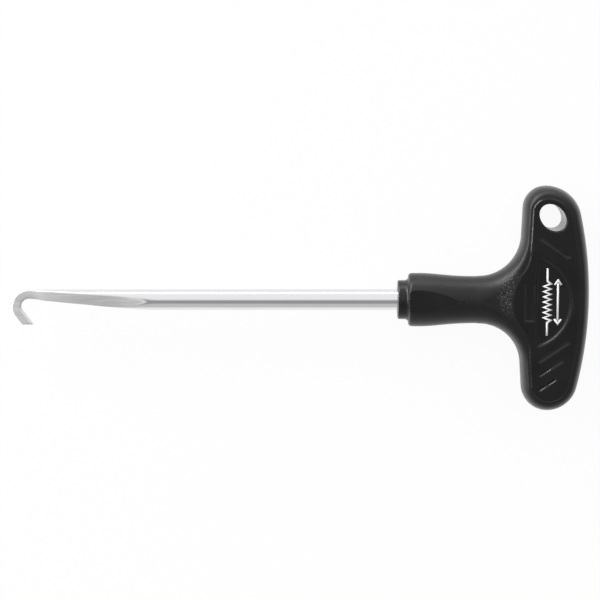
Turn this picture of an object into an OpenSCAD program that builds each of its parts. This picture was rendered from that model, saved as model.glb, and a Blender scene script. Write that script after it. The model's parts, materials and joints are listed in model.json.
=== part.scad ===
// Tension spring hook: a steel rod with a ground hook, moulded into a black T-handle.
// The tool lies on its back: +X runs from the hook to the handle, +Z is up.

/* [Overall] */
// Length from the outside of the hook to the back of the handle
overall_l = 165; // [140:1:220]
// Thickness of the handle over its two smooth faces
handle_t = 13.8; // [12.6:0.1:16]

/* [Shank] */
// Diameter of the round rod
shank_d = 6; // [5:0.1:6.4]

/* [Blade] */
// Length of the ground blade between the hook and the round rod
blade_l = 34.5; // [26:0.5:45]
// Height of the blade's back above the rod's axis at the hook
blade_top = 2.8; // [2.4:0.05:2.85]

/* [Hook] */
// Outer radius of the hook's bend
hook_r = 4.7; // [4.2:0.1:6]
// Width of the hook across its bend
hook_w = 2.55; // [2:0.05:2.8]
// Thickness of the hook across its flat sides
hook_t = 2.4; // [1.8:0.1:2.8]
// Angle that the bend turns through before the straight limb
hook_turn = 127; // [110:1:140]
// Depth of the cut-off tip below the rod's axis
tip_drop = 7.1; // [6.6:0.1:8.5]
// Rounding of the hook's inner edges
inner_round = 0.6; // [0.3:0.05:0.9]
// Rounding of the hook's outer edges
outer_round = 0.3; // [0.1:0.05:0.5]

/* [Tang] */
// Length of the rod inside the handle
tang_l = 44; // [38:0.5:48]
// Width over the two swaged ears
ear_w = 9.4; // [8:0.1:11]
// Thickness of the swaged ears
ear_t = 3; // [2:0.1:4]
// Length of the swaged ears
ear_l = 8; // [5:0.5:10]
// Distance of the ears from the end of the tang
ear_back = 4; // [2:0.5:8]
// Clearance between the tang and the moulding
tang_gap = 0.05; // [0.02:0.01:0.15]

/* [Stem] */
// Length of the handle from its nose to its back
handle_l = 54.75; // [50:0.25:64]
// Diameter of the nose collar
collar_d = 11.2; // [10:0.1:12.5]
// Length of the nose collar
collar_l = 2; // [1.2:0.1:3]
// Length of the hollow shoulder behind the collar
shoulder_l = 1.1; // [0.8:0.1:2]
// Largest diameter of the stem, just behind the shoulder
stem_d = 15.4; // [14.8:0.1:17]
// Smallest diameter of the stem, at its waist
waist_d = 13.5; // [12.4:0.1:14]
// Distance of the waist from the nose
waist_at = 22.25; // [20:0.25:25]

/* [Bar] */
// Reach of the bar above the rod's axis
bar_up = 32.7; // [28:0.1:40]
// Reach of the bar below the rod's axis
bar_down = 31.9; // [28:0.1:40]
// Radius of the long curve of the bar's back
back_r = 108; // [90:1:160]
// Height of the back's crown above the rod's axis
back_y = 1; // [0:0.5:4]
// Front radius of the upper end
up_front_r = 6.45; // [6:0.05:7]
// Back radius of the upper end
up_back_r = 10.3; // [9:0.1:11]
// Front radius of the lower end
down_front_r = 7.25; // [6.4:0.05:7.6]
// Back radius of the lower end
down_back_r = 8.9; // [8.4:0.1:10]
// Radius of the two hollows where the stem runs into the bar
hollow_r = 12; // [10.5:0.1:12.3]
// Width of the rounded rim at the back and the ends, seen from above
rim_w = 3; // [2.2:0.1:3.6]
// Width of the rounded rim along the front edges
front_rim = 2.1; // [1.8:0.1:3]

/* [Panel] */
// Height of the smooth panel above the bar's face
panel_raise = 0.4; // [0.3:0.05:0.6]
// Margin between the foot of the rim and the panel
panel_margin = 0.2; // [0.1:0.05:0.6]
// Radius of the panel's bulge round the stem's end
hub_r = 13.5; // [11:0.1:14.5]
// Distance of the bulge's front from the handle's back
hub_reach = 22; // [20:0.5:24]
// Radius of the hollow corners beside the bulge
hub_fillet = 6; // [3:0.5:8]

/* [Grooves] */
// Width of a grip groove
groove_w = 1.1; // [0.7:0.1:1.5]
// Depth of a grip groove below the panel
groove_deep = 0.8; // [0.7:0.05:1.2]
// Length of the groove nearest the stem
groove_l = 9.3; // [8:0.1:10]
// How much shorter each next groove is
groove_step = 2.1; // [1.5:0.1:2.3]
// Slant of the grooves
groove_slant = 34; // [25:1:45]
// Distance of the first lower groove's front end from the rod's axis
groove_y = 16.7; // [16.2:0.1:18]
// Distance of the upper groove's front end from the rod's axis
groove_up_y = 18.2; // [17:0.1:18.6]
// Distance between the grooves' front ends
groove_pitch = 4.2; // [3.6:0.1:4.6]
// Distance of the grooves' front ends from the handle's back
groove_reach = 14.4; // [13.5:0.1:15]

/* [Label recess] */
// Radius of the recess's round side
label_r = 13.2; // [11.5:0.1:13.6]
// Distance of the recess's round side from the handle's back
label_back = 5.8; // [5:0.1:7]
// Distance of the recess's long side from the handle's back
label_reach = 15.8; // [14.5:0.1:16.5]
// Radius of the long side, which is bowed towards the stem
label_bow = 95; // [60:5:150]
// Depth of the recess below the panel
label_deep = 0.6; // [0.5:0.05:0.8]
// Length of the small bare field in front of the recess
field_l = 10.8; // [8:0.1:12]
// Width of the small bare field
field_w = 2.6; // [2:0.1:3.2]
// Distance between the small bare field and the recess
field_gap = 0.4; // [0.3:0.05:0.8]
// Depth of the small bare field below the panel
field_deep = 0.2; // [0.15:0.05:0.3]

/* [Hanging hole] */
// Width of the oval hole
hole_w = 6.6; // [5.5:0.1:7.2]
// Length of the oval hole
hole_l = 8.4; // [7.5:0.1:9.2]
// Height of the hole's centre above the rod's axis
hole_y = 24; // [23.2:0.1:24.6]
// Distance of the hole's centre from the handle's back
hole_back = 11.2; // [10.5:0.1:11.5]
// Slant of the hole's long axis
hole_slant = -45; // [-60:1:-30]
// Width of the rounded lip at each mouth of the hole
hole_lip = 0.4; // [0.2:0.05:0.6]

/* [Hidden] */

$fn = 64;
shank_r = shank_d / 2;
reach = overall_l + bar_up + bar_down;

// The box of the whole tool sits on z 0 with its centre over the origin.
axis_y = (bar_down - bar_up) / 2;
face_z = handle_t / 2;
back_x = overall_l / 2;
nose_x = back_x - handle_l;

// Hook: centre of the bend, its inner radius and the ends of the blade.
hook_cx = hook_r - overall_l / 2;
hook_cy = blade_top - hook_r;
hook_in = hook_r - hook_w;
blade_low = blade_top - hook_w;
blade_end = hook_cx + blade_l;
// Angle by which the bend reaches back into the blade.
bend_lap = 1;

// Handle: half thickness of the bar below its panel, and where the stem runs into the bar.
bar_h = face_z - panel_raise;
stem_r = stem_d / 2;
waist_r = waist_d / 2;
neck_r = waist_r + 0.1;
neck_x = nose_x + waist_at + 1;
back_c = [back_x - back_r, back_y];
// Half width of the narrow crest along the top of the round stem.
crest = 0.2;
// Steps of the rounded section up to the flat face, of the long edges and of a rounded end.
rings = 7;
edge_steps = 14;
end_steps = 10;

// Centres of the ends: each back arc runs tangent into the long back curve.
function end_x(y, r) = back_c[0] + sqrt(pow(back_r - r, 2) - pow(y - back_y, 2));
up_y = bar_up - up_back_r;
down_y = down_back_r - bar_down;
up_back = [end_x(up_y, up_back_r), up_y];
down_back = [end_x(down_y, down_back_r), down_y];
up_front = [up_back[0], bar_up - up_front_r];
down_front = [down_back[0], down_front_r - bar_down];
up_hollow = [neck_x, neck_r + hollow_r];
down_hollow = [neck_x, -neck_r - hollow_r];

// Angles where the straight front edges leave the hollows, and where the ends run into the back.
function heading(a, b) = atan2(b[1] - a[1], b[0] - a[0]);
function crossing(a, ra, b, rb) = acos((ra + rb) / norm(b - a));
up_cross = heading(up_hollow, up_front) - crossing(up_hollow, hollow_r, up_front, up_front_r);
down_cross = heading(down_hollow, down_front)
    + crossing(down_hollow, hollow_r, down_front, down_front_r);
up_turn = heading(back_c, up_back);
down_turn = heading(back_c, down_back);
back_split = -asin(back_y / back_r);
split_gap = 0.15;

// A point of the handle's outline: [x, y, inward x, inward y, rim width, half height, top angle].
// The section there climbs a quarter ellipse from the outline up to the top angle.
function ease(from, to, s) = to + (from - to) * pow(1 - s, 2);
function arc(c, r, from, to, steps, inward, w, rim, h) = [
    for (i = [0:steps])
        let (s = i / steps, a = from + (to - from) * s)
            [c[0] + r * cos(a), c[1] + r * sin(a), inward * cos(a), inward * sin(a),
                ease(w, rim, s), ease(h, bar_h, s), 90]
];
function hollow_arc(c, from, to) =
    arc(c, hollow_r, from, to, edge_steps, 1, neck_r - crest, front_rim, neck_r);
function round_arc(c, r, from, to, steps) = arc(c, r, from, to, steps, -1, rim_w, rim_w, bar_h);
// Front arc of an end: its rim grows from the front edge's width to the back's.
function front_arc(c, r, from, to) = arc(c, r, from, to, end_steps, -1, front_rim, rim_w, bar_h);
function middle(list) = [for (i = [1:len(list) - 2]) list[i]];
function backward(list) = [for (i = [len(list) - 1:-1:0]) list[i]];

// Front and back edges of the bar's two arms, each from the rod's axis outwards.
up_front_edge = concat(hollow_arc(up_hollow, 270, 360 + up_cross),
    front_arc(up_front, up_front_r, up_cross + 180, 90));
up_back_edge = concat(round_arc(back_c, back_r, back_split + split_gap, up_turn, edge_steps),
    middle(round_arc(up_back, up_back_r, up_turn, 90, end_steps + 2)));
down_front_edge = concat(hollow_arc(down_hollow, 90, down_cross),
    front_arc(down_front, down_front_r, down_cross - 180, -90));
down_back_edge = concat(round_arc(back_c, back_r, back_split - split_gap, down_turn, edge_steps),
    middle(round_arc(down_back, down_back_r, down_turn, -90, end_steps + 2)));

function bezier(p, t) =
    pow(1 - t, 3) * p[0] + 3 * t * pow(1 - t, 2) * p[1] + 3 * t * t * (1 - t) * p[2] + pow(t, 3) * p[3];
function curve(p, steps) = [for (i = [0:steps]) bezier(p, i / steps)];

// Half profile of the stem from the nose to the waist: collar, hollow shoulder, belly and waist.
collar_r = collar_d / 2;
nose_round = 0.4;
lip = 0.5;
front = collar_l + shoulder_l;
cove_r = min(shoulder_l, stem_r - lip - collar_r);
cove = [for (a = [270:18:360]) [front + cove_r * (cos(a) - 1), collar_r + cove_r * (1 + sin(a))]];
belly = curve([[front + lip, stem_r - 0.05], [waist_at * 0.5, stem_r + 0.15],
    [waist_at * 0.58, waist_r + 0.02], [waist_at, waist_r]], 14);
stem_profile = concat([[0, collar_r - nose_round], [nose_round, collar_r]], cove,
    [[front, stem_r - lip]], belly);
function stem_edge(side) = [
    for (p = stem_profile)
        [nose_x + p[0], side * p[1], 0, -side, p[1], p[1],
            min(asin(min(1, face_z / p[1])), acos(crest / p[1]))]
];

// Section of the hook: x from the inside of the bend outwards, y across the flat sides.
function corner(x, y, r, from) = [for (a = [from:18:from + 90]) [x + r * cos(a), y + r * sin(a)]];
function hook_section() = let (h = hook_t / 2, i = inner_round, o = outer_round) concat(
    corner(hook_r - o, h - o, o, 0),
    corner(hook_in + i, h - i, i, 90),
    corner(hook_in + i, i - h, i, 180),
    corner(hook_r - o, o - h, o, 270)
);

module in_frame() {
    translate([0, axis_y, face_z]) children();
}

// Rod along +X.
module rod(d, from, to) {
    translate([from, 0, 0]) rotate([0, 90, 0]) cylinder(d = d, h = to - from);
}

// Waste ground off one side of the blade, above one smooth curve that runs out on the round rod.
module side_waste() {
    ground = curve([[blade_end, shank_r], [blade_end - blade_l * 0.33, shank_r * 0.77],
        [hook_cx + blade_l * 0.24, shank_r * 0.66], [hook_cx, hook_t / 2]], 14);
    rotate([90, 0, 0]) translate([0, 0, -shank_d]) linear_extrude(2 * shank_d)
        polygon(concat(ground, [[hook_cx - shank_d, hook_t / 2], [hook_cx - shank_d, shank_d],
            [blade_end, shank_d]]));
}

// Waste ground off below and above the blade, seen along the bend's axis.
module edge_waste() {
    start = hook_cx - shank_d;
    translate([0, 0, -shank_d]) linear_extrude(2 * shank_d) {
        polygon([[start, blade_low], [hook_cx, blade_low], [blade_end, -shank_r], [start, -shank_d]]);
        polygon([[start, blade_top], [hook_cx, blade_top], [blade_end, shank_r], [start, shank_d]]);
    }
}

module hook_bend() {
    translate([hook_cx, hook_cy, 0]) rotate([0, 0, 90 - bend_lap])
        rotate_extrude(angle = hook_turn + bend_lap) polygon(hook_section());
}

// Straight limb after the bend, cut off level with the rod.
module hook_limb() {
    limb_l = hook_r + tip_drop;
    difference() {
        translate([hook_cx, hook_cy, 0]) rotate([0, 0, 90 + hook_turn]) rotate([90, 0, 0])
            translate([0, 0, -limb_l]) linear_extrude(limb_l) polygon(hook_section());
        translate([hook_cx - reach, -tip_drop - reach, -shank_d])
            cube([2 * reach, reach, 2 * shank_d]);
    }
}

// Ears of the tang, grown by a clearance for the moulding's cavity.
module ears(gap) {
    translate([nose_x + tang_l - ear_back - ear_l - gap, -ear_w / 2 - gap, -ear_t / 2 - gap])
        cube([ear_l + 2 * gap, ear_w + 2 * gap, ear_t + 2 * gap]);
}

module hook_shank() {
    color("gainsboro") in_frame() {
        difference() {
            rod(shank_d, hook_cx, nose_x + tang_l);
            edge_waste();
            for (side = [0, 1]) mirror([0, 0, side]) side_waste();
        }
        hook_bend();
        hook_limb();
        ears(0);
    }
}

// Body of the handle as one skin: sections that climb from the outline to the flat faces,
// round on the stem and bull-nosed on the bar. The stem's flat facets are part of the crest.
module handle_body() {
    arm = len(up_front_edge);
    neck = len(stem_profile);
    outline = concat(up_front_edge, backward(up_back_edge), down_back_edge, backward(down_front_edge),
        backward(stem_edge(-1)), stem_edge(1));
    n = len(outline);
    points = [
        for (k = [-rings:rings])
            for (p = outline)
                let (a = p[6] * k / rings, w = p[4] * (1 - cos(a)))
                    [p[0] + w * p[2], p[1] + w * p[3], p[5] * sin(a)]
    ];
    sides = [
        for (k = [0:2 * rings - 1])
            for (i = [0:n - 1])
                let (j = (i + 1) % n)
                    [k * n + i, k * n + j, (k + 1) * n + j, (k + 1) * n + i]
    ];
    // Strips across the flat face: each joins a point of a front edge to its fellow at the back.
    stem_down = 4 * arm + neck - 1;
    stem_up = 4 * arm + neck;
    strips = concat(
        [for (i = [0:arm - 2]) [i, i + 1, 2 * arm - 2 - i, 2 * arm - 1 - i]],
        [for (i = [0:arm - 2]) [2 * arm + i, 2 * arm + i + 1, 4 * arm - 2 - i, 4 * arm - 1 - i]],
        [[0, 2 * arm - 1, 2 * arm, 4 * arm - 1]],
        [for (j = [0:neck - 2]) [stem_down - j, stem_up + j, stem_up + j + 1, stem_down - j - 1]],
        [[stem_down - neck + 1, stem_up + neck - 1, 0, 4 * arm - 1]]
    );
    top = [for (s = strips) [for (i = s) 2 * rings * n + i]];
    bottom = [for (s = strips) backward(s)];
    polyhedron(points, concat(sides, top, bottom));
}

// Outline of the smooth panel: the bar's ends set in from the rim, with a bulge towards the stem.
module panel_outline() {
    edge = concat(front_arc(up_front, up_front_r, up_cross + 180, 90), backward(up_back_edge),
        down_back_edge, backward(front_arc(down_front, down_front_r, down_cross - 180, -90)));
    line = [for (p = edge) [p[0] + (p[4] + panel_margin) * p[2], p[1] + (p[4] + panel_margin) * p[3]]];
    polygon(line);
    intersection() {
        translate(hub_c) circle(hub_r);
        translate([hub_c[0] - 2 * hub_r, -hub_r]) square(2 * hub_r);
    }
    hub_corners(line[len(line) - 1], line[0]);
}

// Hollow corners where the bulge meets the panel's front line, each an arc tangent to both.
hub_c = [back_x - hub_reach + hub_r, 0];
module hub_corners(low, high) {
    d = (high - low) / norm(high - low);
    m = [-d[1], d[0]];
    far = (hub_c - low) * m;
    span = sqrt(pow(hub_r + hub_fillet, 2) - pow(hub_fillet - far, 2));
    for (side = [-1, 1]) {
        c = low + d * ((hub_c - low) * d + side * span) + m * hub_fillet;
        from = heading(c, c - m);
        to = from - side * (180 - acos((far - hub_fillet) / (hub_r + hub_fillet)));
        polygon(concat([hub_c], [for (i = [0:8])
            let (a = from + (to - from) * i / 8) c + hub_fillet * [cos(a), sin(a)]]));
    }
}

module groove(length) {
    translate([0, -groove_w / 2]) square([length, groove_w]);
    circle(d = groove_w);
    translate([length, 0]) circle(d = groove_w);
}

// Grip grooves of one face: three below the stem, and one above it where the hole leaves room.
module grooves() {
    translate([back_x - groove_reach, 0]) {
        for (i = [0:2])
            translate([0, -groove_y - i * groove_pitch]) rotate(groove_slant)
                groove(groove_l - i * groove_step);
        translate([0, groove_up_y]) rotate(-groove_slant) groove(groove_l);
    }
}

// Recess for a label: a round side and a long side that is slightly bowed.
module label_recess() {
    intersection() {
        translate([back_x - label_back - label_r, 0]) circle(label_r);
        translate([back_x - label_reach + label_bow, 0]) circle(label_bow, $fn = 320);
    }
}

module bare_field() {
    translate([back_x - label_reach - field_gap - field_w, -field_l / 2]) square([field_w, field_l]);
}

// Oval hole through the bar, with a bevelled mouth on each face.
module hanging_hole() {
    run = hole_l - hole_w;
    r = hole_w / 2;
    translate([back_x - hole_back, hole_y, 0]) rotate([0, 0, hole_slant]) {
        translate([-run / 2, -r, -handle_t]) cube([run, hole_w, 2 * handle_t]);
        for (side = [-1, 1]) translate([side * run / 2, 0, -handle_t]) cylinder(d = hole_w, h = 2 * handle_t);
        for (face = [0, 1]) mirror([0, 0, face]) translate([0, 0, face_z - hole_lip]) {
            for (side = [-1, 1]) translate([side * run / 2, 0, 0])
                cylinder(r1 = r, r2 = r + 2 * hole_lip, h = 2 * hole_lip);
            translate([-run / 2, 0, 0]) rotate([90, 0, 90]) linear_extrude(run)
                polygon([[-r, 0], [r, 0], [r + 2 * hole_lip, 2 * hole_lip], [-r - 2 * hole_lip, 2 * hole_lip]]);
        }
    }
}

// Cuts a flat shape into the upper face to a depth.
module sink(deep) {
    translate([0, 0, face_z - deep]) linear_extrude(face_z) children();
}

module handle() {
    color([0.13, 0.13, 0.14]) in_frame() difference() {
        union() {
            handle_body();
            translate([0, 0, -face_z]) linear_extrude(handle_t) panel_outline();
        }
        rod(shank_d + 2 * tang_gap, nose_x - shank_d, nose_x + tang_l + tang_gap);
        ears(tang_gap);
        hanging_hole();
        for (face = [0, 1]) mirror([0, 0, face]) sink(groove_deep) grooves();
        sink(label_deep) label_recess();
        sink(field_deep) bare_field();
    }
}

hook_shank();
handle();
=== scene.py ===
import json
import math

import bmesh
import bpy
import numpy as np
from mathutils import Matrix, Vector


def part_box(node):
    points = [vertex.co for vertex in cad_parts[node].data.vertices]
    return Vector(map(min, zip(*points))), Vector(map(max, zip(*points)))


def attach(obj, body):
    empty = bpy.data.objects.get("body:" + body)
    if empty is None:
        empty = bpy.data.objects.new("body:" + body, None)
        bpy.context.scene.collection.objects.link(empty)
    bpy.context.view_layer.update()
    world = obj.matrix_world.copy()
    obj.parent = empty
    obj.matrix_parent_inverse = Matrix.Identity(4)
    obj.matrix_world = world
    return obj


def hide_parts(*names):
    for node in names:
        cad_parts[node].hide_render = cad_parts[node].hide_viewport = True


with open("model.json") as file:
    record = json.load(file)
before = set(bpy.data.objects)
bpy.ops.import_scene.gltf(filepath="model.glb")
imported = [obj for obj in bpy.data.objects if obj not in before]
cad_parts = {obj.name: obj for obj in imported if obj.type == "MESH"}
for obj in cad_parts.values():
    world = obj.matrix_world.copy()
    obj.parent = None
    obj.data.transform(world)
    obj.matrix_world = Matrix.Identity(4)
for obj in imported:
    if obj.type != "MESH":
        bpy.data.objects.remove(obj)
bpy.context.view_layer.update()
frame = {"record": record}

mm = 0.001

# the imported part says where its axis, hook and hole are; all shapes below are in millimetres
seats = {m["name"]: np.array(m["pos_m"]) / mm for m in frame["record"]["mounts"]}
handleLow, handleHigh = (np.array(c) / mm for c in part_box("handle"))
axisY, axisZ = seats["shank_clip"][1:]
noseX, backX = handleLow[0], handleHigh[0]
barUp, barDown = handleHigh[1] - axisY, axisY - handleLow[1]
faceZ = (handleHigh[2] - handleLow[2]) / 2
print("frame: axis", axisY, axisZ, "handle", noseX, backX)


# small tools for shapes

def smoothStep(value):
    t = np.clip(value, 0, 1)
    return t * t * (3 - 2 * t)


def mixed(a, b, t):
    return a + (b - a) * t


def polar(centre, radius, degrees):
    a = np.radians(degrees)
    return np.stack([centre[0] + radius * np.cos(a), centre[1] + radius * np.sin(a)], -1)


def bezier(points, count):
    # cubic curve: the four points weighted by the Bernstein polynomials
    t = np.linspace(0, 1, count)[:, None]
    p = np.array(points, float)
    u = 1 - t
    return u ** 3 * p[0] + 3 * t * u ** 2 * p[1] + 3 * t * t * u * p[2] + t ** 3 * p[3]


def respaced(rows, count):
    # the same line with its points at even steps of length
    step = np.linalg.norm(np.diff(rows[:, :2], axis=0), axis=1)
    run = np.concatenate([[0], np.cumsum(step)]) / step.sum()
    at = np.linspace(0, 1, count)
    return np.stack([np.interp(at, run, rows[:, c]) for c in range(rows.shape[1])], -1)


def insideOf(points, corners):
    # signed distance to a closed polygon, positive inside: nearest edge, then a crossing count
    a, b = corners, np.roll(corners, -1, axis=0)
    best = np.full(points.shape[:-1], 1e9)
    odd = np.zeros(points.shape[:-1], bool)
    for p, q in zip(a, b):
        along = q - p
        rel = points - p
        t = np.clip((rel @ along) / (along @ along), 0, 1)
        best = np.minimum(best, np.linalg.norm(rel - t[..., None] * along, axis=-1))
        spans = (p[1] > points[..., 1]) != (q[1] > points[..., 1])
        rise = along[1] if along[1] else 1e-12
        odd ^= spans & (points[..., 0] < p[0] + along[0] * rel[..., 1] / rise)
    return np.where(odd, best, -best)


def capsule(points, start, degrees, length, width):
    # signed distance to a straight slot with round ends, positive inside
    d = np.array([math.cos(math.radians(degrees)), math.sin(math.radians(degrees))])
    rel = points - np.array(start)
    t = np.clip(rel @ d, 0, length)
    return width / 2 - np.linalg.norm(rel - t[..., None] * d, axis=-1)


class Skin:
    # gathers grids of points into one closed mesh, with a value per point for the material

    def __init__(self):
        self.points, self.quads, self.marks, self.total = [], [], [], 0

    def add(self, grid, mark=0.0, closed=False):
        rows, columns = grid.shape[:2]
        index = np.arange(rows * columns).reshape(rows, columns) + self.total
        if closed:
            index = np.concatenate([index, index[:, :1]], axis=1)
        quads = np.stack([index[:-1, :-1], index[:-1, 1:], index[1:, 1:], index[1:, :-1]], -1)
        self.quads.append(quads.reshape(-1, 4))
        self.points.append(grid.reshape(-1, 3))
        self.marks.append(np.broadcast_to(mark, (rows, columns)).reshape(-1))
        self.total += rows * columns

    def build(self, name, markName):
        points, marks = np.concatenate(self.points), np.concatenate(self.marks)
        rounded = np.round(points, 4)  # points of neighbouring grids that agree become one
        _, first, back = np.unique(rounded, axis=0, return_index=True, return_inverse=True)
        quads = back.reshape(-1)[np.concatenate(self.quads)]
        same = quads == np.roll(quads, -1, axis=1)  # a pole's quads have one side of no length
        pole = same.sum(axis=1) == 1
        tris = quads[pole][~same[pole]].reshape(-1, 3)
        places = points[first] * mm + np.array([0, axisY, axisZ]) * mm
        mesh = bpy.data.meshes.new(name)
        mesh.from_pydata(places.tolist(), [], quads[~same.any(axis=1)].tolist() + tris.tolist())
        work = bmesh.new()
        work.from_mesh(mesh)
        bmesh.ops.recalc_face_normals(work, faces=work.faces)
        openEdges = sum(not e.is_manifold for e in work.edges)
        work.to_mesh(mesh)
        work.free()
        values = mesh.attributes.new(markName, "FLOAT", "POINT").data
        values.foreach_set("value", marks[first].astype(np.float32))
        mesh.polygons.foreach_set("use_smooth", np.ones(len(mesh.polygons), bool))
        mesh.validate()
        piece = bpy.data.objects.new(name, mesh)
        bpy.context.scene.collection.objects.link(piece)
        print(name, len(mesh.vertices), "points", len(mesh.polygons), "faces", openEdges, "open edges")
        return piece


# steel: one rod, ground to a blade, bent to a hook, with two ears on the tang inside the handle

steel = {
    "radius": 3.0, "bladeLength": 34.5, "top": 2.8, "outer": 4.7, "width": 2.55, "thick": 2.4,
    "turn": 127.0, "tipDrop": 7.1, "tang": 44.0, "noseGap": 0.2,
    "earWidth": 9.4, "earThick": 3.0, "earLength": 8.0, "earBack": 4.0,
    "taperNear": (0.24, 0.66), "taperFar": (0.33, 0.77), "sideClear": 0.1,
    "tilt": 0.11, "tiltRun": 0.5, "edgePower": 40.0, "innerPower": 5.0, "outerPower": 26.0,
    "groundFrom": 0.06, "groundOver": 0.1, "joinLength": 5.0,
    "tipRound": 0.12, "tipBack": 0.05, "tipIn": (0.035, 0.1),
    "brightFrom": 0.5, "brightOver": 0.15, "brightRow": 35, "brightRows": 20,
    "around": 96, "shankRows": 30, "bladeRows": 170, "finerFrom": 4.0, "bendRows": 90, "limbRows": 16,
}
hookX, hookY = seats["spring_seat"][0], seats["spring_seat"][1] - axisY
bladeEnd = hookX + steel["bladeLength"]
tangEnd = noseX + steel["tang"]


def earedTube(angles, gap, stations):
    # distance from the axis round the tang: the rod's circle, or the ears' box where it stands out
    r = steel["radius"] + gap
    c, s = np.maximum(np.abs(np.cos(angles)), 1e-9), np.maximum(np.abs(np.sin(angles)), 1e-9)
    ears = np.minimum((steel["earWidth"] / 2 + gap) / c, (steel["earThick"] / 2 + gap) / s)
    return np.where(np.array(stations)[:, None] > 0, np.maximum(r, ears), r)


def tangStations(gap):
    # x along the tang from its end to the nose, and whether the ears stand there
    last = tangEnd - steel["earBack"] + gap
    first = tangEnd - steel["earBack"] - steel["earLength"] - gap
    return [(tangEnd + gap, 0), (last, 0), (last, 1), (first, 1), (first, 0),
            (noseX + steel["noseGap"], 0)]


# handle: one moulding, its section climbing from the outline to the flat faces

grip = {
    "boreGap": 0.05, "mouthFlare": 0.1,
    "collar": 5.6, "collarLength": 2.0, "noseRound": 0.45, "coveEnd": 345.0,
    "shoulder": 1.1, "lip": 0.8, "lipPull": 0.9, "lipDrop": 0.05, "stem": 7.7,
    "bellyAt": 0.5, "bellyOut": 0.15, "hipAt": 0.58, "hipOut": 0.02, "waist": 6.75, "waistAt": 22.25,
    "neckOut": 0.1, "neckPast": 1.0,
    "backRadius": 108.0, "backCrown": 1.0, "hollow": 12.0,
    "upFront": 6.45, "upBack": 10.3, "downFront": 7.25, "downBack": 8.9,
    "rim": 3.0, "frontRim": 2.1, "crest": 0.2, "panelRaise": 0.4,
    "collarSheen": 0.4, "collarPast": 1.2, "collarFade": 0.5, "facetSheen": 0.85, "facetFade": 2.0,
    "holeSheen": 2.0, "boreSheen": 0.5,
    "seamTurn": 0.15, "longArc": 200, "endArc": 120, "lastRing": 0.985,
    "edgePoints": 150, "rings": 14, "across": 84, "holeRows": 10,
}
barH = faceZ - grip["panelRaise"]
neckR = grip["waist"] + grip["neckOut"]
neckX = noseX + grip["waistAt"] + grip["neckPast"]
backC = np.array([backX - grip["backRadius"], grip["backCrown"]])


def headingOf(a, b):
    return math.degrees(math.atan2(b[1] - a[1], b[0] - a[0]))


def endCentres(side, reach, front, back):
    # the back arc of an end runs tangent into the long back curve, the front arc shares its crest
    y = side * (reach - back)
    x = backC[0] + math.sqrt((grip["backRadius"] - back) ** 2 - (y - backC[1]) ** 2)
    return np.array([x, side * (reach - front)]), np.array([x, y])


upFront, upBack = endCentres(1, barUp, grip["upFront"], grip["upBack"])
downFront, downBack = endCentres(-1, barDown, grip["downFront"], grip["downBack"])


def arcRows(centre, radius, start, end, inward, count, rims=None, height=None):
    # rows of x, y, inward x, inward y, rim width, half height, top angle
    # rim and height ease from their first value to their last with the square of what is left of the arc
    s = np.linspace(0, 1, count)
    degrees = mixed(start, end, s)
    at = polar(centre, radius, degrees)
    inwards = inward * polar((0, 0), 1, degrees)
    firstRim, lastRim = rims or (grip["rim"], grip["rim"])
    widths = mixed(lastRim, firstRim, (1 - s) ** 2)
    heights = mixed(barH, height or barH, (1 - s) ** 2)
    return np.column_stack([at, inwards, widths, heights, np.full(count, 90.0)])


def armEdges(side, front, frontR, back, backR):
    # both edges run from the axis outwards
    # front: hollow, straight tangent and end arc; back: long curve and end arc
    hollowC = np.array([neckX, side * (neckR + grip["hollow"])])
    lean = math.degrees(math.acos((grip["hollow"] + frontR) / np.linalg.norm(front - hollowC)))
    cross = headingOf(hollowC, front) - side * lean
    turn = headingOf(backC, back)
    split = -math.degrees(math.asin(grip["backCrown"] / grip["backRadius"])) + side * grip["seamTurn"]
    frontRim, longArc, endArc = grip["frontRim"], grip["longArc"], grip["endArc"]
    hollow = arcRows(hollowC, grip["hollow"], -side * 90, cross, 1, longArc,
                     (neckR - grip["crest"], frontRim), neckR)
    frontEnd = arcRows(front, frontR, cross + side * 180, side * 90, -1, endArc, (frontRim, grip["rim"]))
    backRun = arcRows(backC, grip["backRadius"], split, turn, -1, longArc)
    backEnd = arcRows(back, backR, turn, side * 90, -1, endArc)
    n = grip["edgePoints"]
    frontEdge = respaced(np.concatenate([hollow, frontEnd]), n)
    backEdge = respaced(np.concatenate([backRun, backEnd[1:]]), n + 1)[:-1]
    ends = np.concatenate([frontEnd, backEnd[::-1], backRun[::-1]])
    return frontEdge, backEdge, ends


frontUp, backUp, endsUp = armEdges(1, upFront, grip["upFront"], upBack, grip["upBack"])
frontDown, backDown, endsDown = armEdges(-1, downFront, grip["downFront"], downBack, grip["downBack"])


def stemProfile():
    # distance from the nose and radius: bore, nose, collar, hollow shoulder, belly, waist
    g = grip
    front = g["collarLength"] + g["shoulder"]
    nose = polar((g["noseRound"], g["collar"] - g["noseRound"]), g["noseRound"], np.linspace(180, 90, 8))
    coveC = (front - g["shoulder"], g["collar"] + g["shoulder"])
    cove = polar(coveC, g["shoulder"], np.linspace(270, g["coveEnd"], 14))
    edge = polar((front + g["lip"], g["stem"] - g["lip"]), g["lip"], np.linspace(180, 90, 8))[1:]
    edge[:, 1] = mixed(g["stem"] - g["lip"], edge[:, 1], g["lipPull"])
    belly = bezier([(front + g["lip"], g["stem"] - g["lipDrop"]),
                    (g["waistAt"] * g["bellyAt"], g["stem"] + g["bellyOut"]),
                    (g["waistAt"] * g["hipAt"], g["waist"] + g["hipOut"]), (g["waistAt"], g["waist"])], 70)
    mouth = [(0, steel["radius"] + g["boreGap"] + g["mouthFlare"])]
    return np.concatenate([mouth, nose, cove, edge, belly[1:]])


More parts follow.
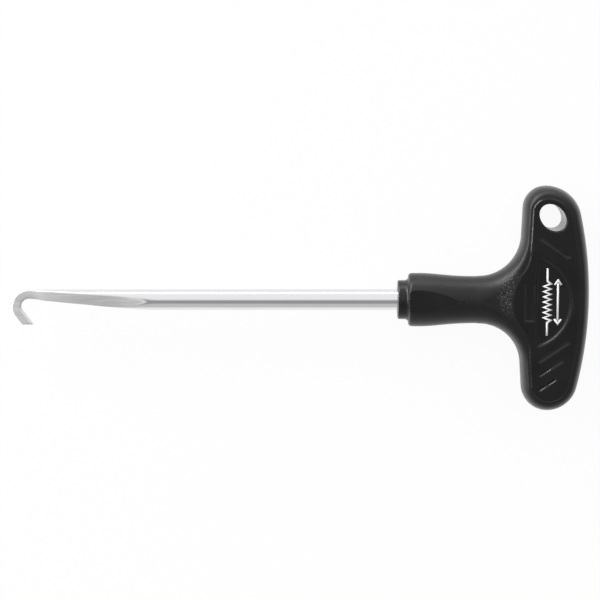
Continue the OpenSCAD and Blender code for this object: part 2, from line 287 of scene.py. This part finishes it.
def stemEdge(side):
    # the turned profile as rows of an edge; the top angle ends at the flat face or at the crest
    profile = stemProfile()
    r = profile[:, 1]
    top = np.minimum(np.arcsin(np.minimum(1, faceZ / r)), np.arccos(grip["crest"] / r))
    n = len(r)
    return np.column_stack([noseX + profile[:, 0], side * r, np.zeros(n), np.full(n, -side), r, r,
                            np.degrees(top)])


def climb(rows, shares):
    # section: steps in by rim * (1 - cos a) while it rises by height * sin a, up to the top angle
    a = np.radians(rows[:, 6])[None, :] * shares[:, None]
    step = rows[:, 4] * (1 - np.cos(a))
    return np.stack([rows[:, 0] + step * rows[:, 2], rows[:, 1] + step * rows[:, 3],
                     rows[:, 5] * np.sin(a)], -1)


skin = Skin()
half = np.linspace(0, 1, grip["rings"] + 1)[:-1]
ends = np.array([grip["lastRing"], 1])
shares = np.concatenate([-ends[::-1], -half[:0:-1], half, ends])
stemUp, stemDown = stemEdge(1), stemEdge(-1)
crests = np.array([0, 0.03, 0.2, 0.5, 0.8, 0.97, 1])[:, None, None]
backMid = mixed(backUp[0], backDown[0], crests[1:-1, 0])
outline = np.concatenate([stemUp, frontUp, backUp[::-1], backMid,
                          backDown, frontDown[::-1], stemDown[::-1]])
sides = climb(outline, shares)
collarX = noseX + grip["collarLength"] + grip["collarPast"]
collarMark = grip["collarSheen"] * smoothStep((collarX - outline[:, 0]) / grip["collarFade"])
skin.add(sides, collarMark)
n, stems = grip["edgePoints"], len(stemUp)

# raised panel: the bar's ends drawn in from the rim, a front line along each arm, and a round hub
face = {
    "margin": 0.02, "slope": 0.5, "hubRadius": 13.5, "hubReach": 22.6, "hubFillet": 9.0,
    "labelRadius": 13.2, "labelBack": 5.8, "labelReach": 15.8, "labelBow": 95.0,
    "labelDeep": 0.6, "labelWall": 0.4,
    "fieldLength": 10.8, "fieldWidth": 2.6, "fieldGap": 0.4, "fieldDeep": 0.2, "fieldWall": 0.25,
    "grooveWidth": 1.1, "grooveDeep": 0.45, "grooveWall": 0.5, "grooveSlant": 34.0,
    "grooveLength": 9.3, "grooveStep": 2.1, "groovePitch": 4.2, "grooveReach": 14.4,
    "grooveY": 16.7, "grooveUpY": 18.2,
    "holeWidth": 6.6, "holeLength": 8.6, "holeSlant": -45.0, "holeLip": 0.45,
    "cutUp": 12.0, "cutDown": -19.0, "patchIn": 0.6, "patchDown": -25.0, "rays": 46,
    "polish": 6.0, "gather": 3.5, "gatherReach": 0.8, "gatherFade": 0.5, "gatherSteps": 300,
}
bound = np.concatenate([endsUp[::4], endsDown[::4][::-1]])
panelLine = bound[:, :2] + (bound[:, 4:5] + face["margin"]) * bound[:, 2:4]
hubC = np.array([backX - face["hubReach"] + face["hubRadius"], 0])


def hubCorners():
    # hollow corners beside the hub: arcs tangent to its circle and to each arm's front line
    r, f = face["hubRadius"], face["hubFillet"]
    lines = []
    for s, edge, inward in ((-1, panelLine[-1], bound[-1, 2:4]), (1, panelLine[0], bound[0, 2:4])):
        along = s * np.array([inward[1], -inward[0]])
        apart = edge - f * inward - hubC
        run = -(apart @ along) - math.sqrt((apart @ along) ** 2 - apart @ apart + (r + f) ** 2)
        c = hubC + apart + run * along
        first = headingOf(c, c + inward)
        sweep = (headingOf(c, hubC) - first + 180) % 360 - 180
        lines.append(polar(c, f, first + np.linspace(0, sweep, 12)))
    hub = headingOf(hubC, lines[0][-1]) % 360
    bulge = polar(hubC, r, np.linspace(hub, headingOf(hubC, lines[1][-1]) % 360, 40)[1:-1])
    return np.concatenate([lines[0], bulge, lines[1][::-1]])


panelLine = np.concatenate([panelLine, hubCorners()])
labelC = np.array([backX - face["labelBack"] - face["labelRadius"], 0])
holeC = seats["hang_hole"][:2] - np.array([0, axisY])
grooveX = backX - face["grooveReach"]
grooves = [((grooveX, -face["grooveY"] - k * face["groovePitch"]), face["grooveSlant"],
            face["grooveLength"] - k * face["grooveStep"]) for k in range(3)]
grooves.append(((grooveX, face["grooveUpY"]), -face["grooveSlant"], face["grooveLength"]))


def holeEdge(directions):
    # distance from the hole's centre to its edge: an ellipse at a slant
    turned = np.radians(face["holeSlant"])
    along = directions @ np.array([np.cos(turned), np.sin(turned)])
    a, b = face["holeLength"] / 2, face["holeWidth"] / 2
    return 1 / np.sqrt((along / a) ** 2 + np.maximum(0, 1 - along * along) / b ** 2)


def faceHeight(at, base, front):
    # height of the face: the bar's base, the panel above it, less recesses, grooves and the hole's lip
    raised = np.clip(insideOf(at, panelLine) / face["slope"], 0, 1)
    z = mixed(base, faceZ, raised)
    if front:
        bow = np.array([backX - face["labelReach"] + face["labelBow"], 0])
        disc = np.minimum(face["labelRadius"] - np.linalg.norm(at - labelC, axis=-1),
                          face["labelBow"] - np.linalg.norm(at - bow, axis=-1))
        z = z - face["labelDeep"] * smoothStep(disc / face["labelWall"] + 0.5)
        middle = backX - face["labelReach"] - face["fieldGap"] - face["fieldWidth"] / 2
        field = np.minimum(face["fieldWidth"] / 2 - np.abs(at[..., 0] - middle),
                           face["fieldLength"] / 2 - np.abs(at[..., 1]))
        z = z - face["fieldDeep"] * smoothStep(field / face["fieldWall"] + 0.5)
    for start, slant, length in grooves:
        inside = capsule(at, start, slant, length, face["grooveWidth"])
        z = z - face["grooveDeep"] * np.clip(inside / face["grooveWall"], 0, 1)
    rel = at - holeC
    reach = np.linalg.norm(rel, axis=-1)
    gap = reach - holeEdge(rel / np.maximum(reach, 1e-9)[..., None])
    lip = np.clip(1 - gap / face["holeLip"], 0, 1)
    z = z - face["holeLip"] * (1 - np.sqrt(1 - lip * lip))
    return z, raised


def spread(starts, ends, count):
    # points on straight lines, close together near both ends: the panel's slope and the hole's lip
    near = np.array([0, 0.1, 0.2, 0.3, 0.4, 0.5, 0.6, 0.68, 0.76, 0.86])
    length = np.linalg.norm(ends - starts, axis=-1)[..., None]
    inner = mixed(near[-1], length - near[-1], np.linspace(0, 1, count - 2 * len(near) + 2)[1:-1])
    along = np.concatenate([near + 0 * length, inner, length - near[::-1]], axis=-1) / length
    return mixed(starts[..., None, :], ends[..., None, :], along[..., None]), along


def gathered(starts, ends, count):
    # points on straight lines, closer where they cross the panel's slope: even shares of a summed density
    fine = np.linspace(0, 1, face["gatherSteps"])
    inside = insideOf(mixed(starts[:, None], ends[:, None], fine[:, None]), panelLine)
    apart = np.abs(inside - face["slope"] / 2)
    dense = 1 + face["gather"] * smoothStep((face["gatherReach"] - apart) / face["gatherFade"])
    total = np.cumsum((dense[:, 1:] + dense[:, :-1]) / 2, axis=1)
    total = np.concatenate([0 * total[:, :1], total], axis=1) / total[:, -1:]
    shares = np.linspace(0, 1, count)
    along = np.stack([np.interp(shares, row, fine) for row in total])
    return mixed(starts[:, None], ends[:, None], along[..., None]), along


def addFace(ring, level):
    # strips from the front edge to the back edge, and an end patch of rays on each arm
    front = level > 0
    upF, upB = ring[stems:stems + n], ring[stems + n:stems + 2 * n][::-1]
    downB, downF = ring[-stems - 2 * n:-stems - n], ring[-stems - n:-stems][::-1]
    crestLine = mixed(ring[:stems + 1], ring[::-1][:stems + 1], crests)
    facet = smoothStep((noseX + grip["waistAt"] - crestLine[..., 0]) / grip["facetFade"])
    skin.add(crestLine, np.maximum(grip["facetSheen"] * facet, collarMark[:stems + 1]))

    def strips(starts, ends):
        flatStarts, flatEnds = starts[..., :2], ends[..., :2]
        at, along = gathered(flatStarts, flatEnds, grip["across"])
        base = barH + (np.abs(starts[..., 2:]) - barH) * (1 - along) ** 2
        z, raised = faceHeight(at, base, front)
        skin.add(np.concatenate([at, level * z[..., None]], -1), np.minimum(1, face["polish"] * raised))
        return at

    strips(mixed(upF[:1], downF[:1], crests[:, 0]), ring[stems + 2 * n - 1:-stems - 2 * n + 1])
    cutUp = int(np.argmax(upF[:, 1] > face["cutUp"]))
    cutDown = int(np.argmax(downF[:, 1] < face["cutDown"]))
    rowUp = strips(upF[:cutUp + 1], upB[:cutUp + 1])[-1]
    rowDown = strips(downF[:cutDown + 1], downB[:cutDown + 1])[-1]
    baseOf = {True: (upF, upB, cutUp, rowUp), False: (downF, downB, cutDown, rowDown)}
    for upper, (f, b, cut, row) in baseOf.items():
        loop = np.concatenate([f[cut:, :2], b[cut:, :2][::-1], row[1:-1][::-1]])
        centre = holeC if upper else np.array([downBack[0] + face["patchIn"], face["patchDown"]])
        rays = loop - centre
        reach = np.linalg.norm(rays, axis=-1)[:, None]
        edge = holeEdge(rays / reach)[:, None] if upper else np.zeros_like(reach)
        at, _ = spread(loop, centre + rays / reach * edge, face["rays"])
        share = np.interp(row[1:-1, 0], [f[cut, 0], b[cut, 0]], [1, 0])
        rowBase = barH + share ** 2 * (abs(f[cut, 2]) - barH)
        base = np.concatenate([np.abs(f[cut:, 2]), np.abs(b[cut:, 2][::-1]), rowBase[::-1]])
        fade = np.linspace(1, 0, face["rays"]) ** 2
        z, raised = faceHeight(at, barH + (base[:, None] - barH) * fade, front)
        patch = np.concatenate([at, level * z[..., None]], -1).transpose(1, 0, 2)
        skin.add(patch, np.minimum(1, face["polish"] * raised.T), closed=True)
        if upper:
            mouth = np.concatenate([at[:, -1], level * z[:, -1:]], -1)
    return mouth


topMouth = addFace(sides[-1], 1)
lowMouth = addFace(sides[0], -1)
down = np.linspace(0, 1, grip["holeRows"])[:, None, None]
skin.add(mixed(topMouth, lowMouth, down), grip["holeSheen"], closed=True)

# bore for the tang, carried on from the inner edge of the nose
mouthRing = np.concatenate([sides[:, 0], mixed(sides[-1, 0], sides[-1, -1], crests[1:-1, 0]),
                            sides[::-1, -1], mixed(sides[0, -1], sides[0, 0], crests[1:-1, 0])])
angles = np.arctan2(mouthRing[:, 2], mouthRing[:, 1])
stationX, eared = zip(*tangStations(grip["boreGap"]))
tube = earedTube(angles, grip["boreGap"], eared)
boreX = np.array(stationX)[:, None] + 0 * tube
bore = np.stack([boreX, tube * np.cos(angles), tube * np.sin(angles)], -1)
pole = np.broadcast_to([tangEnd + grip["boreGap"], 0, 0], bore[:1].shape)
skin.add(np.concatenate([mouthRing[None], bore[::-1], pole]), grip["boreSheen"], closed=True)
handle = skin.build("handleSkin", "sheen")
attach(handle, "root")
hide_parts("handle")
print("handle done")


def bladeSection(phi, x):
    # distance from the section's middle: the smallest of circle, upper edge, lower edge and ground sides,
    # blended by a high power mean so that the ground edges are a little rounded
    run = (x - hookX) / steel["bladeLength"]
    r = steel["radius"]
    upper = mixed(steel["top"], r, run)
    lower = mixed(steel["top"] - steel["width"], -r, run)
    near, far = steel["taperNear"], steel["taperFar"]
    side = bezier([(bladeEnd, r), (bladeEnd - far[0] * steel["bladeLength"], far[1] * r),
                   (hookX + near[0] * steel["bladeLength"], near[1] * r), (hookX, steel["thick"] / 2)], 200)
    flat = np.where(x > bladeEnd, r + steel["sideClear"] * (x - bladeEnd),
                    np.interp(x, side[::-1, 0], side[::-1, 1]))
    middle = np.where(x > bladeEnd, 0, (upper + lower) / 2)
    c, s = np.cos(phi), np.sin(phi)
    small = 1e-6
    tilt = steel["tilt"] * smoothStep(run / steel["tiltRun"])  # the sides lean towards the lower edge
    flat = flat + tilt * middle
    circle = -middle * c + np.sqrt(np.maximum(small, r * r - (middle * s) ** 2))
    limits = [circle, (upper - middle) / np.maximum(c, small), (middle - lower) / np.maximum(-c, small),
              flat / np.maximum(np.abs(s) - tilt * c, small)]
    power = steel["edgePower"]
    reach = sum(np.maximum(d, small) ** -power for d in limits) ** (-1 / power)
    return middle, reach, smoothStep((circle - reach - steel["groundFrom"]) / steel["groundOver"])


def hookSection(phi):
    # rounded box: power means of the width and thickness limits, softer on the inside of the bend
    power = np.where(np.cos(phi) < 0, steel["innerPower"], steel["outerPower"])
    across = np.maximum(np.abs(np.cos(phi)) / (steel["width"] / 2), 1e-6)
    through = np.maximum(np.abs(np.sin(phi)) / (steel["thick"] / 2), 1e-6)
    return (across ** power + through ** power) ** (-1 / power)


rod = Skin()
phi = np.linspace(0, 2 * np.pi, steel["around"] + 1)[:-1]
stationX, eared = zip(*tangStations(0))
tube = earedTube(phi, 0, eared)
tang = np.stack([np.array(stationX)[:, None] + 0 * tube, tube * np.cos(phi), tube * np.sin(phi)], -1)
finerX = bladeEnd + steel["finerFrom"]
straight = np.concatenate([np.linspace(noseX - steel["noseGap"], finerX, steel["shankRows"]),
                           np.linspace(finerX, hookX, steel["bladeRows"])[1:]])
middle, reach, ground = bladeSection(phi[None, :], straight[:, None])
hooked = hookSection(phi)
join = smoothStep((hookX + steel["joinLength"] - straight) / steel["joinLength"])[:, None]
reach = mixed(reach, hooked, join)
blade = np.stack([straight[:, None] + 0 * reach, middle + reach * np.cos(phi), reach * np.sin(phi)], -1)
bendAt = np.radians(90 + np.linspace(0, steel["turn"], steel["bendRows"])[1:, None])
ringR = steel["outer"] - steel["width"] / 2 + hooked * np.cos(phi)
bend = np.stack([hookX + ringR * np.cos(bendAt), hookY + ringR * np.sin(bendAt),
                 hooked * np.sin(phi) + 0 * bendAt], -1)

# limb: each line of the section runs on straight to the level cut, its edge a little broken
last = bendAt[-1, 0]
heading = np.array([-math.sin(last), math.cos(last), 0])
limbL = (bend[-1, :, 1] + steel["tipDrop"]) / -heading[1]
centreLine = np.array([hookX, hookY, 0]) + (steel["outer"] - steel["width"] / 2) * np.array(
    [math.cos(last), math.sin(last), 0])
centreL = (centreLine[1] + steel["tipDrop"]) / -heading[1]
limbShares = np.linspace(0, 1, steel["limbRows"])[1:-1, None, None]
limb = bend[-1] + limbShares * (limbL[:, None] - steel["tipRound"]) * heading
tipC = centreLine + centreL * heading
tipEdge = bend[-1] + limbL[:, None] * heading
toCentre = tipC - tipEdge
tip = np.stack([tipEdge - steel["tipBack"] * heading + steel["tipIn"][0] * toCentre,
                tipEdge + steel["tipIn"][1] * toCentre, 0 * tipEdge + tipC])
tip[..., 1] = np.maximum(tip[..., 1], -steel["tipDrop"])
tangPole = np.broadcast_to([tangEnd, 0, 0], tang[:1].shape)
grid = np.concatenate([tangPole, tang, blade, bend, limb, tip])
# the inside of the bend is left bright, from its far side to the tip
rows = np.arange(len(bend) + len(limb) + len(tip))[:, None]
inside = (smoothStep((-np.cos(phi) - steel["brightFrom"]) / steel["brightOver"])
          * smoothStep((rows - steel["brightRow"]) / steel["brightRows"]))
marks = np.concatenate([np.zeros((1 + len(tang), len(phi))), np.maximum(ground, join), 1 - inside])
rod.add(grid, marks, closed=True)
hook = rod.build("hookShankSkin", "ground")
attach(hook, "root")
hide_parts("hook_shank")
print("steel done")


# print in the label recess: a plain spring symbol and a double arrow, thin bands of white ink

ink = {
    "line": 0.55, "thick": 0.03, "sunk": 0.02, "mitre": 0.5,
    "springX": 69.95, "springHalf": 9.6, "coiled": 0.62, "swing": 1.0, "turns": 8,
    "arrowX": 72.95, "arrowHalf": 6.2, "arrowInset": 0.9, "barb": 0.95, "barbLength": 1.3,
    "pale": (0.84, 0.84, 0.85, 1), "white": (0.92, 0.92, 0.92, 1), "rough": 0.42,
}
inkZ = faceZ - face["labelDeep"]


def band(path, width):
    # flat band along a path: each station is the path's point moved to both sides along the mitred normal
    path = np.array(path, float)
    along = np.diff(path, axis=0)
    along /= np.linalg.norm(along, axis=1)[:, None]
    before, after = np.concatenate([along[:1], along]), np.concatenate([along, along[-1:]])
    bisect = before + after
    bisect /= np.linalg.norm(bisect, axis=1)[:, None]
    lengthen = 1 / np.maximum(ink["mitre"], np.sum(bisect * after, axis=1))
    sideways = np.stack([-bisect[:, 1], bisect[:, 0]], -1) * (lengthen * width / 2)[:, None]
    edges = np.stack([path - sideways, path + sideways, path + sideways, path - sideways], 1)
    level = np.array([inkZ + ink["thick"]] * 2 + [inkZ - ink["sunk"]] * 2)
    ring = np.concatenate([edges, np.broadcast_to(level[None, :, None], edges.shape[:2] + (1,))], -1)
    ends = ring.mean(axis=1, keepdims=True) + 0 * ring
    return np.concatenate([ends[:1], ring, ends[-1:]])


printSkin = Skin()
turnY = np.linspace(-ink["coiled"], ink["coiled"], 2 * ink["turns"] + 1) * ink["springHalf"]
turnX = ink["springX"] + ink["swing"] * np.where(np.arange(len(turnY)) % 2, 1.0, -1.0)
turnX[[0, -1]] = ink["springX"]
spring = np.concatenate([[(ink["springX"], -ink["springHalf"])], np.stack([turnX, turnY], -1),
                         [(ink["springX"], ink["springHalf"])]])
printSkin.add(band(spring, ink["line"]), closed=True)
shaftHalf = ink["arrowHalf"] - ink["arrowInset"]
printSkin.add(band([(ink["arrowX"], -shaftHalf), (ink["arrowX"], shaftHalf)], ink["line"]), closed=True)
for end in (-1, 1):
    tipY, footY = end * ink["arrowHalf"], end * (ink["arrowHalf"] - ink["barbLength"])
    printSkin.add(band([(ink["arrowX"] - ink["barb"], footY), (ink["arrowX"], tipY),
                        (ink["arrowX"] + ink["barb"], footY)], ink["line"]), closed=True)
printMark = printSkin.build("printMark", "worn")
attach(printMark, "root")
print("print done")


# materials

class Sock:
    # a shader value; arithmetic makes the nodes

    def __init__(self, tree, out):
        self.tree, self.out = tree, out

    def node(self, kind, settings=None, inputs=None, pick=0):
        made = self.tree.nodes.new(kind)
        for key, value in (settings or {}).items():
            setattr(made, key, value)
        for key, value in (inputs or {}).items():
            if isinstance(value, Sock):
                self.tree.links.new(value.out, made.inputs[key])
            else:
                made.inputs[key].default_value = value
        return Sock(self.tree, made.outputs[pick])

    def maths(self, what, a, b):
        return self.node("ShaderNodeMath", {"operation": what}, {0: a, 1: b})

    def __add__(self, other):
        return self.maths("ADD", self, other)

    def __radd__(self, other):
        return self.maths("ADD", other, self)

    def __sub__(self, other):
        return self.maths("SUBTRACT", self, other)

    def __rsub__(self, other):
        return self.maths("SUBTRACT", other, self)

    def __mul__(self, other):
        return self.maths("MULTIPLY", self, other)

    def __rmul__(self, other):
        return self.maths("MULTIPLY", other, self)

    def step(self, low, high):
        return self.node("ShaderNodeMapRange", {"interpolation_type": "SMOOTHSTEP"},
                         {"Value": self, "From Min": low, "From Max": high})

    def colour(self, a, b):
        # mixes two colours by this value
        return self.node("ShaderNodeMix", {"data_type": "RGBA"}, {0: self, 6: a, 7: b}, 2)

    def stretched(self, x, y, z):
        return self.node("ShaderNodeVectorMath", {"operation": "MULTIPLY"}, {0: self, 1: (x, y, z)})

    def noise(self, scale, detail=3.0, rough=0.55):
        return self.node("ShaderNodeTexNoise", None,
                         {"Vector": self, "Scale": scale, "Detail": detail, "Roughness": rough})

    def bump(self, height, strength, distance):
        return self.node("ShaderNodeBump", None,
                         {"Height": height, "Strength": strength, "Distance": distance})


def startMaterial(name):
    made = bpy.data.materials.new(name)
    made.use_nodes = True
    tree = made.node_tree
    shader = tree.nodes["Principled BSDF"]
    start = Sock(tree, None)
    place = start.node("ShaderNodeTexCoord", pick=3)
    return made, tree, shader, start, place


def feed(tree, shader, values):
    for key, value in values.items():
        if isinstance(value, Sock):
            tree.links.new(value.out, shader.inputs[key])
        else:
            shader.inputs[key].default_value = value


plastic = {
    # the pale colour for the grain's tips is a painted highlight, glint specks in the rubbed patch
    "dark": (0.003, 0.003, 0.0033, 1), "worn": (0.006, 0.006, 0.0063, 1), "paintedGlints": (0.22, 0.22, 0.22, 1),
    "cloud": 90.0, "grain": 3400.0, "fine": 1500.0, "bump": 0.8, "bumpDeep": 0.00012,
    "rough": 0.4, "roughCloud": 0.1, "roughSmooth": -0.13, "roughSheen": -0.06, "roughFine": 0.08,
    "roughRubbed": -0.2, "shine": 0.38, "bloom": 0.45, "bloomRough": 0.3,
    "rubbedGlintPatch": (0.0597, 0.0011, 0.0), "rubbedGlintRange": (0.0008, 0.005), "rubbedGlintHeights": (0.0105, 0.0128),
    "wornRange": (0.35, 0.75), "glintRange": (0.54, 0.68),
}


def plasticMaterial():
    made, tree, shader, start, place = startMaterial("blackPlastic")
    sheen = start.node("ShaderNodeAttribute", {"attribute_name": "sheen"}, pick=2)
    smooth = start.maths("MINIMUM", sheen, 1.0)
    cloud = place.noise(plastic["cloud"], 4.0)
    grain = place.noise(plastic["grain"], 2.0, 0.6)
    fine = place.noise(plastic["fine"], 2.0)
    # a patch beside the hub where the grain is rubbed shiny, with less roughness and deeper grain; pale
    # specks on the grain's tips there are a painted highlight
    flat = place.stretched(1.0, 0.55, 0.0)
    away = flat.node("ShaderNodeVectorMath", {"operation": "DISTANCE"}, {0: flat, 1: plastic["rubbedGlintPatch"]}, 1)
    level = start.node("ShaderNodeSeparateXYZ", None, {"Vector": place}, 2)
    patch = 1.0 - away.step(*plastic["rubbedGlintRange"])
    rubbedGlintPatch = patch * (1.0 - smooth) * level.step(*plastic["rubbedGlintHeights"])
    rough = plastic["rough"] + plastic["roughCloud"] * (cloud - 0.5) + plastic["roughSmooth"] * smooth
    rough = rough + plastic["roughSheen"] * sheen + plastic["roughFine"] * (fine - 0.5)
    rough = rough + plastic["roughRubbed"] * rubbedGlintPatch
    depth = grain * (1.0 - 0.9 * smooth) * (0.45 + 1.6 * rubbedGlintPatch) + 0.1 * fine
    tone = cloud.step(*plastic["wornRange"]).colour(plastic["dark"], plastic["worn"])
    # painted highlight: pale specks on the grain's tips within the patch, glints of light put into the base
    # colour
    paintedGlints = grain.step(*plastic["glintRange"]) * rubbedGlintPatch
    feed(tree, shader, {
        "Base Color": paintedGlints.colour(tone, plastic["paintedGlints"]),
        "Roughness": rough,
        "IOR": 1.5,
        "Specular IOR Level": plastic["shine"],
        "Sheen Weight": plastic["bloom"],
        "Sheen Roughness": plastic["bloomRough"],
        "Normal": place.bump(depth, plastic["bump"], plastic["bumpDeep"]),
    })
    return made


chrome = {
    # the lighter ground colour serves both the grinding streaks and a painted highlight at the end of the
    # grind; the near-white edge colour is a painted highlight
    "plate": (0.80, 0.80, 0.82, 1), "ground": (0.7, 0.7, 0.7, 1), "streaksAndHighlight": (0.9, 0.9, 0.9, 1),
    "burrGlint": (0.98, 0.98, 0.98, 1),
    "rough": 0.15, "roughGround": 0.25, "roughCloud": 0.06, "roughMarks": 0.12, "roughBurr": 0.2,
    "marks": (60.0, 2600.0, 2600.0), "rings": (3200.0, 60.0, 60.0), "streaks": (110.0, 1300.0, 1300.0),
    "runOutHighlight": (11, 2), "bump": 0.3, "bumpDeep": 0.00004,
}


def steelMaterial():
    made, tree, shader, start, place = startMaterial("brightSteel")
    ground = start.node("ShaderNodeAttribute", {"attribute_name": "ground"}, pick=2)
    cloud = place.noise(140.0, 4.0)
    marks = place.stretched(*chrome["marks"]).noise(1.0, 3.0)  # fine lines along the blade
    rings = place.stretched(*chrome["rings"]).noise(1.0, 2.0)  # polishing lines round the rod
    streaks = place.stretched(*chrome["streaks"]).noise(1.0, 3.0).step(0.3, 0.7)
    along = start.node("ShaderNodeSeparateXYZ", None, {"Vector": place})
    # painted highlight at the end of the grind: the ground faces turn lighter there and their edge gets a
    # near-white, rougher line, standing in for the bright reflection
    runOutHighlight = along.step(*((bladeEnd - back) * mm for back in chrome["runOutHighlight"]))
    burrGlint = 4.0 * ground * (1.0 - ground) * runOutHighlight
    rough = chrome["rough"] + chrome["roughGround"] * ground + chrome["roughCloud"] * (cloud - 0.5)
    rough = rough + chrome["roughMarks"] * (marks - 0.5) * ground + chrome["roughBurr"] * burrGlint
    lines = marks * ground + rings * (1.0 - ground) * 0.25
    # lighter ground tone: the grinding streaks, and the painted highlight towards the end of the grind
    streaksAndHighlight = start.maths("MINIMUM", 0.6 * streaks + 0.8 * runOutHighlight, 1.0)
    cut = streaksAndHighlight.colour(chrome["ground"], chrome["streaksAndHighlight"])
    feed(tree, shader, {
        "Base Color": burrGlint.colour(ground.colour(chrome["plate"], cut), chrome["burrGlint"]),
        "Metallic": 1.0,
        "Roughness": rough,
        "Normal": place.bump(lines, chrome["bump"], chrome["bumpDeep"]),
    })
    return made


def inkMaterial():
    made, tree, shader, start, place = startMaterial("whiteInk")
    cloud = place.noise(700.0, 3.0)
    feed(tree, shader, {
        "Base Color": cloud.step(0.3, 0.7).colour(ink["pale"], ink["white"]),
        "Roughness": ink["rough"] + 0.15 * (cloud - 0.5),
        "Normal": place.bump(place.noise(2400.0, 2.0), 0.2, 0.00003),
    })
    return made


printMark.data.materials.append(inkMaterial())
handle.data.materials.append(plasticMaterial())
hook.data.materials.append(steelMaterial())
print("materials done")


# floor, backdrop, light and camera

studio = {
    "distance": 600.0, "field": 172.0, "aimX": -0.2, "aimY": -0.52, "lean": -6.5,
    "sensor": 36.0, "floorHalf": 4.0, "floorTone": (0.86, 0.86, 0.86, 1), "floorRough": 0.9, "white": 0.94,
    "near": 0.62, "far": 0.38, "farRange": (-0.3, 0.3),
    "overhead": (0.12, -0.36, 1), "overheadDim": 0.46, "overheadRange": (0.9, 0.965),
    "sideDim": 0.55, "sideRange": (0.3, 0.85), "lampAim": (0.02, 0, 0),
}


def floorMaterial():
    made, tree, shader, start, place = startMaterial("paleFloor")
    feed(tree, shader, {"Base Color": studio["floorTone"], "Roughness": studio["floorRough"]})
    seen = start.node("ShaderNodeLightPath", pick=0)
    glossy = start.node("ShaderNodeLightPath", pick=3)
    passed = start.node("ShaderNodeLightPath", pick=6)
    white = start.node("ShaderNodeEmission", None, {"Color": (1, 1, 1, 1), "Strength": 1.0})
    part = studio["white"] * start.maths("MAXIMUM", seen, start.maths("MAXIMUM", glossy, passed))
    mix = tree.nodes.new("ShaderNodeMixShader")
    tree.links.new(part.out, mix.inputs[0])
    tree.links.new(shader.outputs[0], mix.inputs[1])
    tree.links.new(white.out, mix.inputs[2])
    tree.links.new(mix.outputs[0], tree.nodes["Material Output"].inputs[0])
    return made


floorMesh = bpy.data.meshes.new("floor")
edge = studio["floorHalf"]
floorMesh.from_pydata([(-edge, -edge, 0), (edge, -edge, 0), (edge, edge, 0), (-edge, edge, 0)],
                      [], [(0, 1, 2, 3)])
floor = bpy.data.objects.new("floor", floorMesh)
bpy.context.scene.collection.objects.link(floor)
floorMesh.materials.append(floorMaterial())

world = bpy.data.worlds.new("studioWorld")
bpy.context.scene.world = world
world.use_nodes = True
backdrop = Sock(world.node_tree, None)
sky = backdrop.node("ShaderNodeTexCoord", pick=0)


def towards(direction):
    # how closely the sky's direction agrees with a given one
    unit = tuple(np.array(direction) / np.linalg.norm(direction))
    return sky.node("ShaderNodeVectorMath", {"operation": "DOT_PRODUCT"}, {0: sky, 1: unit}, 1)


# pale all round, brighter on the far side, with a dim patch overhead where camera and ceiling are
bright = studio["near"] + studio["far"] * towards((0, 1, 0)).step(*studio["farRange"])
ceiling = 1.0 - studio["overheadDim"] * towards(studio["overhead"]).step(*studio["overheadRange"])
aside = towards((1, 0, 0)) * towards((1, 0, 0))
strength = bright * ceiling * (1.0 - studio["sideDim"] * aside.step(*studio["sideRange"]))
world.node_tree.links.new(strength.out, world.node_tree.nodes["Background"].inputs[1])
world.node_tree.nodes["Background"].inputs[0].default_value = (1, 1, 1, 1)


def softLight(name, place, size, power):
    lamp = bpy.data.lights.new(name, "AREA")
    lamp.shape = "RECTANGLE"
    lamp.size, lamp.size_y = size
    lamp.energy = power
    made = bpy.data.objects.new(name, lamp)
    made.location = place
    aim = np.array(studio["lampAim"]) - np.array(place)
    made.rotation_euler = (math.atan2(math.hypot(aim[0], aim[1]), -aim[2]), 0,
                           math.atan2(aim[1], aim[0]) - math.pi / 2)
    bpy.context.scene.collection.objects.link(made)


lamps = {
    "farLight": {"place": (-0.2, 1.2, 0.11), "size": (2.4, 0.2), "power": 8.0},
    "cornerLight": {"place": (-0.62, 0.72, 0.27), "size": (0.75, 0.14), "power": 6.5},
    "leftLight": {"place": (-0.99, 0.17, 0.28), "size": (0.7, 0.12), "power": 6.4},
}
for lampName, values in lamps.items():
    softLight(lampName, **values)

lens = bpy.data.cameras.new("camera")
camera = bpy.data.objects.new("camera", lens)
lens.sensor_width = studio["sensor"]
lens.lens = studio["sensor"] * studio["distance"] / studio["field"]
lean = math.radians(studio["lean"])
camera.location = np.array([studio["aimX"], studio["aimY"] - studio["distance"] * math.sin(lean),
                            axisZ + studio["distance"] * math.cos(lean)]) * mm
camera.rotation_euler = (lean, 0, 0)
bpy.context.scene.collection.objects.link(camera)
bpy.context.scene.camera = camera
bpy.context.scene.view_settings.view_transform = "Standard"
print("studio done")
